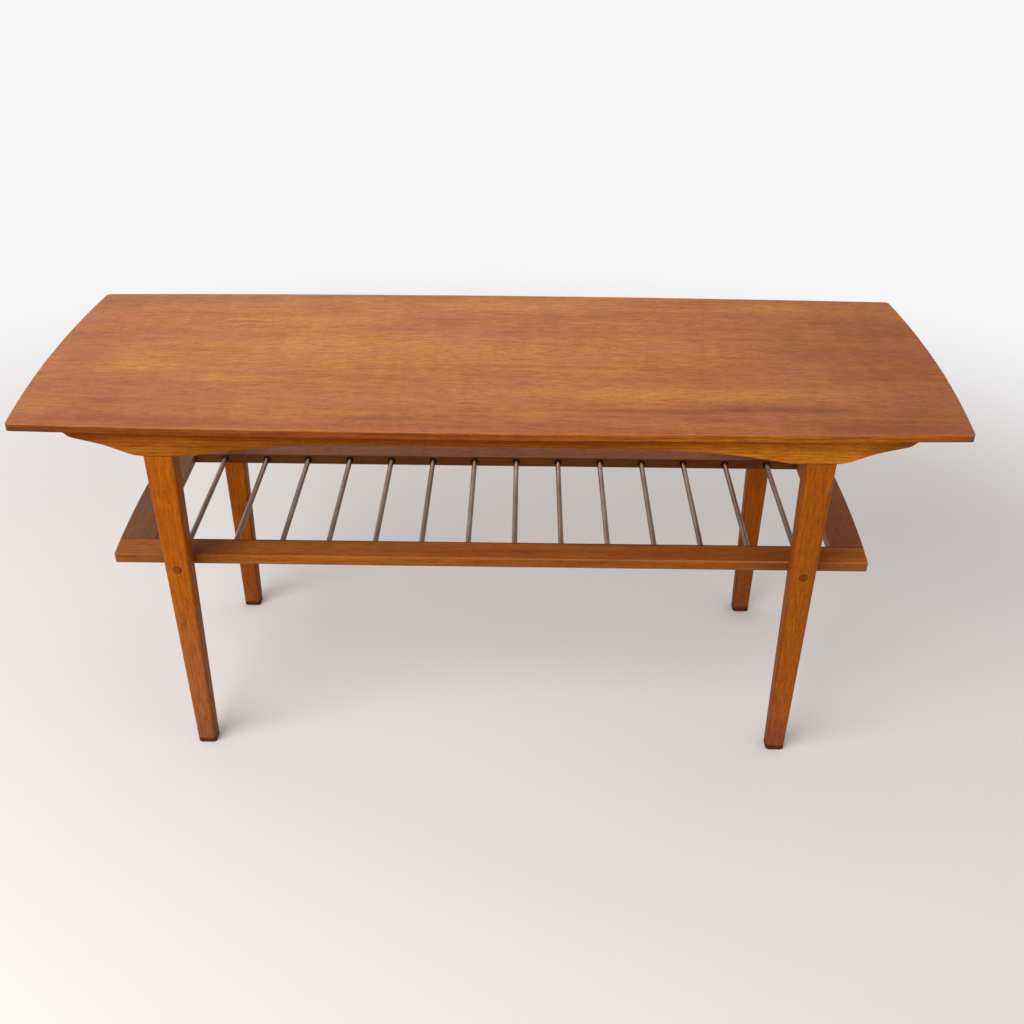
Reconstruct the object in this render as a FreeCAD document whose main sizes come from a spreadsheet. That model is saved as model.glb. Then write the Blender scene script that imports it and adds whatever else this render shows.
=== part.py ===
# Boat-shaped coffee table with a magazine rack of metal rods
# X runs along the table, its front faces -Y and Z points up.
# The origin is on the floor, under the middle of the top. Sizes are in millimetres.
import FreeCAD, Part
import math
import os
import Sketcher
from FreeCAD import Placement, Rotation, Vector

os.makedirs("parts", exist_ok=True)
doc = FreeCAD.newDocument("coffee_table")

# Driving sizes
driving_sizes = {
    # top: a thin board, bowed outward on all four sides
    "table_length": "1120",
    "table_depth": "412",
    "table_height": "505",
    "top_thickness": "16",
    "end_bow": "11",
    "side_bow": "9",
    "corner_radius": "6",
    "edge_thickness": "8.5",
    "bevel_width": "22",
    "top_arris": "1",
    # aprons: long boards under the top, deepest over the legs
    "apron_inset": "32.5",
    "apron_thickness": "24",
    "apron_height": "37",
    "apron_arris": "1.5",
    "arch_rise": "16.5",
    "arch_run": "172",
    "arch_margin": "18.5",
    "knee_margin": "8",
    "knee_radius": "45",
    "hollow_radius": "120",
    "tip_radius": "14",
    "tip_inset": "57",
    "tail_bend_height": "22.5",
    "tail_end_height": "13",
    "tail_bend_share": "0.4",
    "tail_end_share": "0.83",
    # legs: tapered on three faces, the face towards the rack upright
    "leg_inset": "171.5",
    "leg_width": "36",
    "leg_depth": "26.5",
    "foot_width": "24.5",
    "foot_depth": "21.5",
    "leg_edge_radius": "5",
    "foot_arris": "1",
    "tenon_width": "20",
    "tenon_thickness": "12",
    "tenon_height": "22",
    # rack
    "shelf_height": "296",
    "rail_thickness": "13.5",
    "rail_width": "36.5",
    "rail_arris": "1.5",
    "shelf_overhang": "85.5",
    "shelf_bow": "5",
    "shelf_corner_radius": "3",
    "end_board_width": "40.5",
    # rods of the rack
    "rod_count": "14",
    "rod_diameter": "7",
    "rod_seat": "12",
    "rod_end_gap": "44",
    "rod_chamfer": "0.5",
    "rod_hole_bevel": "1.5",
    # rails across the table, under the top
    "cross_rail_thickness": "22",
    "cross_rail_height": "30",
    "cross_rail_gap": "5",
    # screws, plugs and dowels
    "screw_diameter": "4.5",
    "screw_head_diameter": "8.5",
    "screw_head_height": "2.8",
    "screw_point": "4",
    "screw_bite_share": "0.75",
    "plug_diameter": "10.5",
    "plug_length": "6",
    "plug_proud": "0.3",
    "plug_chamfer": "0.4",
    "counterbore_depth": "12",
    "top_screw_bite": "10",
    "top_screw_share": "0.35",
    "dowel_diameter": "6",
    "dowel_length": "30",
    "shelf_dowel_spacing": "22",
    "rail_dowel_spacing": "14",
    # clearance round a tenon, rod, plug, screw or dowel, and behind its end
    "fit_gap": "0.1",
}

sheet = doc.addObject("Spreadsheet::Sheet", "sizes")
for row, (name, number) in enumerate(driving_sizes.items(), start=1):
    sheet.set(f"A{row}", name)
    sheet.set(f"B{row}", number)
    sheet.setAlias(f"B{row}", name)
doc.recompute()

# Places worked out from the driving sizes
underside = "(sizes.table_height - sizes.top_thickness)"
apron_face = "(sizes.table_depth / 2 - sizes.apron_inset)"
apron_back = f"({apron_face} - sizes.apron_thickness)"
apron_bottom = f"({underside} - sizes.apron_height)"
leg_centre = "(sizes.table_length / 2 - sizes.leg_inset)"
leg_height = apron_bottom
# the rack's rails lie against the legs' upright faces
shelf_face = f"({apron_face} - sizes.leg_depth)"
rail_inner_face = f"({shelf_face} - sizes.rail_width)"
rail_middle = "(sizes.shelf_height - sizes.rail_thickness / 2)"
shelf_corner = f"({leg_centre} + sizes.shelf_overhang)"
shelf_end_radius = f"(({shelf_face}^2 + sizes.shelf_bow^2) / (2 * sizes.shelf_bow))"
end_board_inner = f"({shelf_corner} - sizes.end_board_width)"
end_board_middle = f"({shelf_corner} - sizes.end_board_width / 2)"
# leg depth where the rack is fixed, and the floor of the hole that takes head and plug
depth_at_plug = (
    "(sizes.foot_depth + (sizes.leg_depth - sizes.foot_depth)"
    f" * {rail_middle} / {leg_height})"
)
plug_inner_end = f"({depth_at_plug} + sizes.plug_proud - sizes.plug_length)"
screw_seat = f"({plug_inner_end} - sizes.screw_head_height)"
leg_screw_bite = "((sizes.rail_width - sizes.rod_seat) * sizes.screw_bite_share)"
cross_rail_centre = (
    f"({leg_centre} - sizes.leg_width / 2 - sizes.cross_rail_gap"
    " - sizes.cross_rail_thickness / 2)"
)
cross_rail_bottom = f"({underside} - sizes.cross_rail_height)"
hole_radius = {
    "rod": "(sizes.rod_diameter / 2 + sizes.fit_gap)",
    "plug": "(sizes.plug_diameter / 2 + sizes.fit_gap)",
    "screw": "(sizes.screw_diameter / 2 + sizes.fit_gap)",
    "dowel": "(sizes.dowel_diameter / 2 + sizes.fit_gap)",
}

near = 0.001


def value(text):
    """Number that an expression gives with the sheet's sizes."""
    return float(sheet.evalExpression(text))


def new_body(label):
    body = doc.addObject("PartDesign::Body", label)
    body.Label = label
    return body


def place(piece, x="0", y="0", z="0", turned=False):
    """Put a piece at a point, turned half round the vertical for the rear of the table."""
    if turned:
        piece.Placement = Placement(Vector(), Rotation(Vector(0, 0, 1), 180))
    for axis, text in (("x", x), ("y", y), ("z", z)):
        piece.setExpression(f"Placement.Base.{axis}", text)


def new_sketch(body, name, plane, offset=None):
    """Sketch on one of the body's own planes, moved along its normal by the offset."""
    sketch = body.newObject("Sketcher::SketchObject", name)
    support = [item for item in body.Origin.OriginFeatures if item.Role == plane][0]
    sketch.AttachmentSupport = (support, [""])
    sketch.MapMode = "FlatFace"
    if offset is not None:
        sketch.setExpression("AttachmentOffset.Base.z", offset)
    return sketch


def bind(sketch, constraint, text):
    index = sketch.addConstraint(constraint)
    sketch.setExpression(f"Constraints[{index}]", text)


def arc_between(start, end, radius):
    """Arc from start to end, anticlockwise with a positive radius and hollow with a negative one."""
    chord = end - start
    rise = math.sqrt(radius**2 - (chord.Length / 2) ** 2)
    left = Vector(-chord.y, chord.x, 0).normalize()
    centre = (start + end) / 2 + left * math.copysign(rise, radius)
    if radius < 0:
        start, end = end, start
    first = math.atan2(start.y - centre.y, start.x - centre.x)
    last = math.atan2(end.y - centre.y, end.x - centre.x)
    if last < first:
        last += 2 * math.pi
    return Part.ArcOfCircle(Part.Circle(centre, Vector(0, 0, 1), abs(radius)), first, last)


def add_outline(sketch, corners, radii=None):
    """Closed anticlockwise outline; radii holds the radius of each round edge by its first corner."""
    radii = radii or {}
    points = [Vector(value(x), value(y), 0) for x, y in corners]
    ends = []
    for number, start in enumerate(points):
        end = points[(number + 1) % len(points)]
        if number in radii:
            radius = value(radii[number])
            edge = sketch.addGeometry(arc_between(start, end, radius))
            bind(sketch, Sketcher.Constraint("Radius", edge, abs(radius)), f"abs({radii[number]})")
            ends.append((edge, 1, 2) if radius > 0 else (edge, 2, 1))
        else:
            edge = sketch.addGeometry(Part.LineSegment(start, end))
            ends.append((edge, 1, 2))
    for number, (edge, first, last) in enumerate(ends):
        next_edge, next_first, _ = ends[(number + 1) % len(ends)]
        sketch.addConstraint(Sketcher.Constraint("Coincident", edge, last, next_edge, next_first))
        x, y = corners[number]
        point = points[number]
        bind(sketch, Sketcher.Constraint("DistanceX", -1, 1, edge, first, point.x), x)
        bind(sketch, Sketcher.Constraint("DistanceY", -1, 1, edge, first, point.y), y)


def add_rectangle(sketch, left, bottom, right, top):
    add_outline(sketch, [(left, bottom), (right, bottom), (right, top), (left, top)])


def add_rounded_rectangle(sketch, left, bottom, right, top, radius):
    corners = [
        (f"{left} + {radius}", bottom),
        (f"{right} - {radius}", bottom),
        (right, f"{bottom} + {radius}"),
        (right, f"{top} - {radius}"),
        (f"{right} - {radius}", top),
        (f"{left} + {radius}", top),
        (left, f"{top} - {radius}"),
        (left, f"{bottom} + {radius}"),
    ]
    add_outline(sketch, corners, {1: radius, 3: radius, 5: radius, 7: radius})


def add_circle(sketch, x, y, radius):
    centre = Vector(value(x), value(y), 0)
    circle = sketch.addGeometry(Part.Circle(centre, Vector(0, 0, 1), value(radius)))
    bind(sketch, Sketcher.Constraint("Radius", circle, value(radius)), radius)
    bind(sketch, Sketcher.Constraint("DistanceX", -1, 1, circle, 3, centre.x), x)
    bind(sketch, Sketcher.Constraint("DistanceY", -1, 1, circle, 3, centre.y), y)


def add_pad(body, sketch, length, both_ways=False):
    pad = body.newObject("PartDesign::Pad", f"{sketch.Name}_pad")
    pad.Profile = sketch
    pad.setExpression("Length", length)
    if both_ways:
        pad.SideType = "Symmetric"
    sketch.Visibility = False
    doc.recompute()
    return pad


def add_pocket(body, sketch, depth=None, along_normal=False):
    """Cut against the sketch's normal, or along it; with no depth the cut goes right through."""
    volume_before = body.Shape.Volume
    pocket = body.newObject("PartDesign::Pocket", f"{sketch.Name}_pocket")
    pocket.Profile = sketch
    pocket.Reversed = along_normal
    if depth is None:
        pocket.Type = "ThroughAll"
    else:
        pocket.setExpression("Length", depth)
    doc.recompute()
    if body.Shape.Volume > volume_before - near:
        raise RuntimeError(f"{pocket.Name} cuts nothing")
    return pocket


def edge_names(feature, test):
    edges = enumerate(feature.Shape.Edges, start=1)
    return [f"Edge{number}" for number, edge in edges if test(edge)]


def add_fillet(body, base, test, radius):
    fillet = body.newObject("PartDesign::Fillet", f"{base.Name}_fillet")
    fillet.Base = (base, edge_names(base, test))
    fillet.setExpression("Radius", radius)
    doc.recompute()
    return fillet


def add_chamfer(body, base, test, size, second_size=None):
    chamfer = body.newObject("PartDesign::Chamfer", f"{base.Name}_chamfer")
    chamfer.Base = (base, edge_names(base, test))
    if second_size is not None:
        chamfer.ChamferType = "Two distances"
        chamfer.setExpression("Size2", second_size)
    chamfer.setExpression("Size", size)
    doc.recompute()
    return chamfer


def lies_at(axis, text):
    """Test for an edge that lies wholly at one coordinate."""
    level = value(text)

    def test(edge):
        box = edge.BoundBox
        low, high = getattr(box, f"{axis}Min"), getattr(box, f"{axis}Max")
        return abs(low - level) < near and abs(high - level) < near

    return test


def runs_along(axis):
    """Test for an edge with no size across the axis."""

    def test(edge):
        box = edge.BoundBox
        sizes = {"X": box.XLength, "Y": box.YLength, "Z": box.ZLength}
        length = sizes.pop(axis)
        return length > near and max(sizes.values()) < near

    return test


# Top
def make_top():
    body = new_body("table_top")
    half_length = "(sizes.table_length / 2 - sizes.end_bow)"
    half_depth = "(sizes.table_depth / 2 - sizes.side_bow)"
    side_radius = f"({half_length}^2 + sizes.side_bow^2) / (2 * sizes.side_bow)"
    end_radius = f"({half_depth}^2 + sizes.end_bow^2) / (2 * sizes.end_bow)"
    outline = new_sketch(body, "top_outline", "XY_Plane")
    corners = [
        (f"-{half_length}", f"-{half_depth}"),
        (half_length, f"-{half_depth}"),
        (half_length, half_depth),
        (f"-{half_length}", half_depth),
    ]
    add_outline(outline, corners, {0: side_radius, 1: end_radius, 2: side_radius, 3: end_radius})
    board = add_pad(body, outline, "sizes.top_thickness")
    # the edge is bevelled from below, so that the board looks thin
    bevel_height = "sizes.top_thickness - sizes.edge_thickness"
    bevel = add_chamfer(body, board, lies_at("Z", "0"), bevel_height, "sizes.bevel_width")
    rounded = add_fillet(body, bevel, runs_along("Z"), "sizes.corner_radius")
    add_fillet(body, rounded, lies_at("Z", "sizes.top_thickness"), "sizes.top_arris")
    # holes for the screws that come up through the cross rails
    holes = new_sketch(body, "top_screw_holes", "XY_Plane")
    for x, y in top_screw_places():
        add_circle(holes, x, y, hole_radius["screw"])
    add_pocket(body, holes, "sizes.top_screw_bite + sizes.fit_gap", along_normal=True)
    place(body, z=underside)


def top_screw_rows():
    """Three screws along each cross rail."""
    step = f"2 * {apron_back} * sizes.top_screw_share"
    return [f"{row} * {step}" for row in (-1, 0, 1)]


def top_screw_places():
    return [(f"{side} * {cross_rail_centre}", y) for side in (-1, 1) for y in top_screw_rows()]


# Aprons
def make_apron(label, turned):
    """The front apron; turned half round, it is the rear one."""
    body = new_body(label)
    arch_foot = f"({leg_centre} - sizes.leg_width / 2 - sizes.arch_margin)"
    arch_end = f"({arch_foot} - sizes.arch_run)"
    arch_radius = "(sizes.arch_run^2 + sizes.arch_rise^2) / (2 * sizes.arch_rise)"
    knee = f"({leg_centre} + sizes.leg_width / 2 + sizes.knee_margin)"
    tip = "(sizes.table_length / 2 - sizes.tip_inset)"
    tail_bend = f"({knee} + ({tip} - {knee}) * sizes.tail_bend_share)"
    tail_end = f"({knee} + ({tip} - {knee}) * sizes.tail_end_share)"
    right_half = [
        (arch_end, "sizes.arch_rise"),
        (arch_foot, "0"),
        (knee, "0"),
        (tail_bend, "sizes.apron_height - sizes.tail_bend_height"),
        (tail_end, "sizes.apron_height - sizes.tail_end_height"),
        (tip, "sizes.apron_height"),
    ]
    left_half = [(f"-{x}", z) for x, z in reversed(right_half)]
    outline = new_sketch(body, f"{label}_outline", "XZ_Plane")
    right_arch_edge = 0
    left_arch_edge = len(right_half) + len(left_half) - 2
    radii = {right_arch_edge: f"-{arch_radius}", left_arch_edge: f"-{arch_radius}"}
    add_outline(outline, right_half + left_half, radii)
    blank = add_pad(body, outline, "sizes.apron_thickness")
    # the lower edge flows from leg to tail with no corners
    rounds = (
        (arch_foot, "sizes.knee_radius"),
        (knee, "sizes.knee_radius"),
        (tail_bend, "sizes.hollow_radius"),
        (tail_end, "sizes.tip_radius"),
    )
    shaped = blank
    for x, radius in rounds:
        shaped = add_fillet(body, shaped, crosses_board_at(x), radius)
    front_face = lies_at("Y", "-sizes.apron_thickness")
    top_edge = lies_at("Z", "sizes.apron_height")

    def front_lower_edge(edge):
        return front_face(edge) and not top_edge(edge)

    add_fillet(body, shaped, front_lower_edge, "sizes.apron_arris")
    # mortises for the legs' tenons
    mortises = new_sketch(body, f"{label}_mortises", "XY_Plane")
    middle = "(sizes.apron_thickness / 2)"
    half_width = "(sizes.tenon_width / 2 + sizes.fit_gap)"
    half_thickness = "(sizes.tenon_thickness / 2 + sizes.fit_gap)"
    for side in (-1, 1):
        add_rectangle(
            mortises,
            f"{side} * {leg_centre} - {half_width}",
            f"-{middle} - {half_thickness}",
            f"{side} * {leg_centre} + {half_width}",
            f"-{middle} + {half_thickness}",
        )
    add_pocket(body, mortises, "sizes.tenon_height + sizes.fit_gap", along_normal=True)
    # holes for the cross rails' dowels, in the back face
    holes = new_sketch(body, f"{label}_dowel_holes", "XZ_Plane")
    for side in (-1, 1):
        for height in rail_dowel_heights():
            add_circle(
                holes, f"{side} * {cross_rail_centre}", f"{height} - {apron_bottom}", hole_radius["dowel"]
            )
    add_pocket(body, holes, "sizes.dowel_length / 2 + sizes.fit_gap", along_normal=True)
    side = "" if turned else "-"
    place(body, y=f"{side}{apron_back}", z=apron_bottom, turned=turned)


def crosses_board_at(x_text):
    """Test for a lower edge that runs through the apron's thickness at plus or minus x."""
    x = value(x_text)
    across = runs_along("Y")

    def test(edge):
        return across(edge) and abs(abs(edge.BoundBox.XMin) - x) < near

    return test


def rail_dowel_heights():
    middle = f"({cross_rail_bottom} + sizes.cross_rail_height / 2)"
    return [f"({middle} + {half} * sizes.rail_dowel_spacing / 2)" for half in (-1, 1)]


# Legs
def add_leg_section(sketch, name, inset="0"):
    """Section with its upright face at y = 0, drawn in on all sides by the inset."""
    half_width = f"(sizes.{name}_width / 2 - {inset})"
    outer_face = f"(-sizes.{name}_depth + {inset})"
    add_rounded_rectangle(
        sketch, f"-{half_width}", outer_face, half_width, f"-{inset}", "sizes.leg_edge_radius"
    )


def make_leg(label, side, turned):
    """A leg with its upright face at y = 0; turned half round for the rear of the table."""
    body = new_body(label)
    # three sections: the sole, the foot just above its bevelled rim, and the shoulder
    sole = new_sketch(body, f"{label}_sole", "XY_Plane")
    add_leg_section(sole, "foot", "sizes.foot_arris")
    foot = new_sketch(body, f"{label}_foot", "XY_Plane", "sizes.foot_arris")
    add_leg_section(foot, "foot")
    shoulder = new_sketch(body, f"{label}_shoulder", "XY_Plane", leg_height)
    add_leg_section(shoulder, "leg")
    taper = body.newObject("PartDesign::AdditiveLoft", f"{label}_taper")
    taper.Profile = sole
    taper.Sections = [foot, shoulder]
    taper.Ruled = True
    doc.recompute()
    # tenon, in the middle of the apron's thickness
    middle = "(sizes.leg_depth - sizes.apron_thickness / 2)"
    tenon = new_sketch(body, f"{label}_tenon", "XY_Plane", leg_height)
    add_rectangle(
        tenon,
        "-sizes.tenon_width / 2",
        f"-{middle} - sizes.tenon_thickness / 2",
        "sizes.tenon_width / 2",
        f"-{middle} + sizes.tenon_thickness / 2",
    )
    add_pad(body, tenon, "sizes.tenon_height")
    # the screw's hole, and the wider hole for its head and the plug
    hole = new_sketch(body, f"{label}_hole", "XZ_Plane")
    add_circle(hole, "0", rail_middle, hole_radius["screw"])
    add_pocket(body, hole, along_normal=True)
    seat = new_sketch(body, f"{label}_seat", "XZ_Plane", screw_seat)
    add_circle(seat, "0", rail_middle, hole_radius["plug"])
    add_pocket(body, seat, along_normal=True)
    face = shelf_face if turned else f"-{shelf_face}"
    place(body, x=f"{side} * {leg_centre}", y=face, turned=turned)


def make_plug(label, side, turned):
    """A round plug over the screw's head, a little proud of the leg."""
    body = new_body(label)
    circle = new_sketch(body, f"{label}_circle", "XZ_Plane")
    add_circle(circle, "0", "0", "sizes.plug_diameter / 2")
    pin = add_pad(body, circle, "sizes.plug_length")
    add_chamfer(body, pin, lies_at("Y", "-sizes.plug_length"), "sizes.plug_chamfer")
    distance = f"({shelf_face} + {plug_inner_end})"
    place(
        body,
        x=f"{side} * {leg_centre}",
        y=distance if turned else f"-{distance}",
        z=rail_middle,
        turned=turned,
    )


# Rack
def shelf_end_at(y):
    """How far the rack reaches along X at a distance y from its middle line."""
    middle_reach = f"({shelf_corner} + sizes.shelf_bow)"
    return f"({middle_reach} - {shelf_end_radius} + sqrt({shelf_end_radius}^2 - ({y})^2))"


def make_shelf_rail(label, turned):
    """The front rail; turned half round, it is the rear one. Its lower face is at z = 0."""
    body = new_body(label)
    outline = new_sketch(body, f"{label}_outline", "XY_Plane")
    inner_reach = shelf_end_at(rail_inner_face)
    corners = [
        (f"-{shelf_corner}", f"-{shelf_face}"),
        (shelf_corner, f"-{shelf_face}"),
        (inner_reach, f"-{rail_inner_face}"),
        (f"-{inner_reach}", f"-{rail_inner_face}"),
    ]
    add_outline(outline, corners, {1: shelf_end_radius, 3: shelf_end_radius})
    board = add_pad(body, outline, "sizes.rail_thickness")
    face = lies_at("Y", f"-{shelf_face}")
    upright = runs_along("Z")

    def outer_corner(edge):
        return upright(edge) and face(edge)

    rounded = add_fillet(body, board, outer_corner, "sizes.shelf_corner_radius")
    along = runs_along("X")

    def long_front_edge(edge):
        return along(edge) and face(edge)

    add_fillet(body, rounded, long_front_edge, "sizes.rail_arris")
    # blind holes for the rods, from one end of the row to the other
    holes = new_sketch(body, f"{label}_rod_hole", "XZ_Plane", rail_inner_face)
    add_circle(holes, rod_place("0"), "sizes.rail_thickness / 2", hole_radius["rod"])
    first_hole = add_pocket(body, holes, "sizes.rod_seat + sizes.fit_gap", along_normal=True)
    row = body.newObject("PartDesign::LinearPattern", f"{label}_rod_holes")
    row.Originals = [first_hole]
    row.Direction = (holes, ["H_Axis"])
    row.setExpression("Length", f"{rod_place('sizes.rod_count - 1')} - {rod_place('0')}")
    row.setExpression("Occurrences", "sizes.rod_count")
    body.Tip = row
    doc.recompute()
    inner_face = lies_at("Y", f"-{rail_inner_face}")

    def hole_mouth(edge):
        return inner_face(edge) and isinstance(edge.Curve, Part.Circle)

    add_chamfer(body, row, hole_mouth, "sizes.rod_hole_bevel")
    # holes for the end boards' dowels
    dowels = new_sketch(body, f"{label}_dowel_holes", "XZ_Plane", rail_inner_face)
    for x in shelf_dowel_places(side=-1) + shelf_dowel_places(side=1):
        add_circle(dowels, x, "sizes.rail_thickness / 2", hole_radius["dowel"])
    add_pocket(body, dowels, "sizes.dowel_length / 2 + sizes.fit_gap", along_normal=True)
    # holes for the screws through the legs
    screws = new_sketch(body, f"{label}_screw_holes", "XZ_Plane", shelf_face)
    for side in (-1, 1):
        add_circle(screws, f"{side} * {leg_centre}", "sizes.rail_thickness / 2", hole_radius["screw"])
    add_pocket(body, screws, f"{leg_screw_bite} + sizes.fit_gap")
    place(body, z="sizes.shelf_height - sizes.rail_thickness", turned=turned)


def make_shelf_end(label, turned):
    """The right end board, between the rails; turned half round, it is the left one."""
    body = new_body(label)
    outline = new_sketch(body, f"{label}_outline", "XY_Plane")
    outer_reach = shelf_end_at(rail_inner_face)
    corners = [
        (end_board_inner, f"-{rail_inner_face}"),
        (outer_reach, f"-{rail_inner_face}"),
        (outer_reach, rail_inner_face),
        (end_board_inner, rail_inner_face),
    ]
    add_outline(outline, corners, {1: shelf_end_radius})
    board = add_pad(body, outline, "sizes.rail_thickness")
    reach = value(outer_reach)

    def outer_long_edge(edge):
        flat = edge.BoundBox.ZLength < near
        return flat and edge.BoundBox.XMin > reach - near

    add_fillet(body, board, outer_long_edge, "sizes.rail_arris")
    for end in (-1, 1):
        name = "front" if end < 0 else "rear"
        holes = new_sketch(body, f"{label}_{name}_holes", "XZ_Plane", f"{-end} * {rail_inner_face}")
        for x in shelf_dowel_places(side=1):
            add_circle(holes, x, "sizes.rail_thickness / 2", hole_radius["dowel"])
        add_pocket(body, holes, "sizes.dowel_length / 2 + sizes.fit_gap", along_normal=end > 0)
    place(body, z="sizes.shelf_height - sizes.rail_thickness", turned=turned)


def shelf_dowel_places(side):
    """Two dowels in each end of the left (-1) or right (1) end board."""
    return [
        f"({side} * {end_board_middle} + {half} * sizes.shelf_dowel_spacing / 2)" for half in (-1, 1)
    ]


def rod_place(number):
    """Distance along X of a rod, by its number from the left."""
    first = f"({end_board_inner} - sizes.rod_end_gap)"
    return f"(-{first} + 2 * {first} * ({number}) / (sizes.rod_count - 1))"


def make_rod(number):
    label = f"rod_{number + 1:02d}"
    body = new_body(label)
    circle = new_sketch(body, f"{label}_circle", "XZ_Plane")
    add_circle(circle, "0", "0", "sizes.rod_diameter / 2")
    length = f"2 * ({rail_inner_face} + sizes.rod_seat)"
    bar = add_pad(body, circle, length, both_ways=True)

    def end_edge(edge):
        return edge.BoundBox.YLength < near

    add_chamfer(body, bar, end_edge, "sizes.rod_chamfer")
    place(body, x=rod_place(str(number)), z=rail_middle)


# Cross rails
def make_cross_rail(label, side):
    """A rail between the aprons, its lower face at z = 0."""
    body = new_body(label)
    section = new_sketch(body, f"{label}_section", "XZ_Plane")
    add_rectangle(
        section,
        "-sizes.cross_rail_thickness / 2",
        "0",
        "sizes.cross_rail_thickness / 2",
        "sizes.cross_rail_height",
    )
    bar = add_pad(body, section, f"2 * {apron_back}", both_ways=True)
    floor = lies_at("Z", "0")
    along = runs_along("Y")

    def lower_long_edge(edge):
        return floor(edge) and along(edge)

    add_fillet(body, bar, lower_long_edge, "sizes.rail_arris")
    holes = new_sketch(body, f"{label}_screw_holes", "XY_Plane")
    for y in top_screw_rows():
        add_circle(holes, "0", y, hole_radius["screw"])
    add_pocket(body, holes, along_normal=True)
    wide_holes = new_sketch(body, f"{label}_head_holes", "XY_Plane")
    for y in top_screw_rows():
        add_circle(wide_holes, "0", y, "sizes.screw_head_diameter / 2 + sizes.fit_gap")
    add_pocket(body, wide_holes, "sizes.counterbore_depth", along_normal=True)
    for end in (-1, 1):
        name = "front" if end < 0 else "rear"
        dowels = new_sketch(body, f"{label}_{name}_dowels", "XZ_Plane", f"{-end} * {apron_back}")
        for height in rail_dowel_heights():
            add_circle(dowels, "0", f"{height} - {cross_rail_bottom}", hole_radius["dowel"])
        add_pocket(body, dowels, "sizes.dowel_length / 2 + sizes.fit_gap", along_normal=end > 0)
    place(body, x=f"{side} * {cross_rail_centre}", z=cross_rail_bottom)


# Screws and dowels
def lay_along(piece, direction, x, y, z):
    """Turn a piece from Z to the direction and put its start at a point."""
    piece.Placement = Placement(Vector(), Rotation(Vector(0, 0, 1), direction))
    for axis, text in (("x", x), ("y", y), ("z", z)):
        piece.setExpression(f"Placement.Base.{axis}", text)


def make_screw(name, direction, seat, shank_length):
    """Screw with a flat head; seat is the point where the head's inner face bears."""
    sign = [int(part) for part in direction]
    head = doc.addObject("Part::Cylinder", f"{name}_head")
    head.setExpression("Radius", "sizes.screw_head_diameter / 2")
    head.setExpression("Height", "sizes.screw_head_height")
    back = [f"{text} - {step} * sizes.screw_head_height" for text, step in zip(seat, sign)]
    lay_along(head, direction, *back)
    shank = doc.addObject("Part::Cylinder", f"{name}_shank")
    straight = f"({shank_length} - sizes.screw_point)"
    shank.setExpression("Radius", "sizes.screw_diameter / 2")
    shank.setExpression("Height", straight)
    lay_along(shank, direction, *seat)
    point = doc.addObject("Part::Cone", f"{name}_point")
    point.setExpression("Radius1", "sizes.screw_diameter / 2")
    point.setExpression("Radius2", "0")
    point.setExpression("Height", "sizes.screw_point")
    ahead = [f"{text} + {step} * {straight}" for text, step in zip(seat, sign)]
    lay_along(point, direction, *ahead)
    screw = doc.addObject("Part::MultiFuse", name)
    screw.Shapes = [head, shank, point]
    return screw


def make_group(label, pieces):
    group = doc.addObject("Part::Compound", label)
    group.Label = label
    group.Links = pieces
    return group


def make_top_screws():
    seat_height = f"({cross_rail_bottom} + sizes.counterbore_depth)"
    length = f"({underside} - {seat_height} + sizes.top_screw_bite)"
    screws = [
        make_screw(f"top_screw_{number}", Vector(0, 0, 1), (x, y, seat_height), length)
        for number, (x, y) in enumerate(top_screw_places(), start=1)
    ]
    return make_group("top_screws", screws)


def make_leg_screws():
    screws = []
    for side in (-1, 1):
        for row in (-1, 1):
            seat = (f"{side} * {leg_centre}", f"{row} * ({shelf_face} + {screw_seat})", rail_middle)
            length = f"({screw_seat} + {leg_screw_bite})"
            name = f"leg_screw_{len(screws) + 1}"
            screws.append(make_screw(name, Vector(0, -row, 0), seat, length))
    return make_group("leg_screws", screws)


def make_dowels(label, places, joint):
    """Dowels along Y, half in each piece, across the joint planes at plus and minus joint."""
    dowels = []
    for x, z in places:
        for row in (-1, 1):
            dowel = doc.addObject("Part::Cylinder", f"{label}_{len(dowels) + 1}")
            dowel.setExpression("Radius", "sizes.dowel_diameter / 2")
            dowel.setExpression("Height", "sizes.dowel_length")
            lay_along(dowel, Vector(0, 1, 0), x, f"{row} * {joint} - sizes.dowel_length / 2", z)
            dowels.append(dowel)
    return make_group(label, dowels)


make_top()
make_apron("front_apron", turned=False)
make_apron("rear_apron", turned=True)
for side_name, side in (("left", -1), ("right", 1)):
    make_cross_rail(f"cross_rail_{side_name}", side)
    make_shelf_end(f"shelf_end_{side_name}", turned=side < 0)
    for row_name in ("front", "rear"):
        make_leg(f"leg_{row_name}_{side_name}", side, turned=row_name == "rear")
        make_plug(f"plug_{row_name}_{side_name}", side, turned=row_name == "rear")
make_shelf_rail("shelf_rail_front", turned=False)
make_shelf_rail("shelf_rail_rear", turned=True)
for rod_number in range(int(value("sizes.rod_count"))):
    make_rod(rod_number)
make_top_screws()
make_leg_screws()
shelf_joints = [(x, rail_middle) for side in (-1, 1) for x in shelf_dowel_places(side)]
make_dowels("shelf_dowels", shelf_joints, rail_inner_face)
cross_rail_joints = [
    (f"{side} * {cross_rail_centre}", z) for side in (-1, 1) for z in rail_dowel_heights()
]
make_dowels("cross_rail_dowels", cross_rail_joints, apron_back)
doc.recompute()

# Check every object, then write each piece
for item in doc.Objects:
    if "Invalid" in item.State or "Error" in item.State:
        raise RuntimeError(f"{item.Label} failed: {item.State}")
pieces = [item for item in doc.Objects if item.TypeId in ("PartDesign::Body", "Part::Compound")]
for piece in pieces:
    if piece.Shape.isNull() or not piece.Shape.isValid():
        raise RuntimeError(f"{piece.Label} has no sound shape")
    piece.Shape.exportStep(f"parts/{piece.Label}.step")
    print(piece.Label, len(piece.Shape.Solids), round(piece.Shape.Volume))
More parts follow.
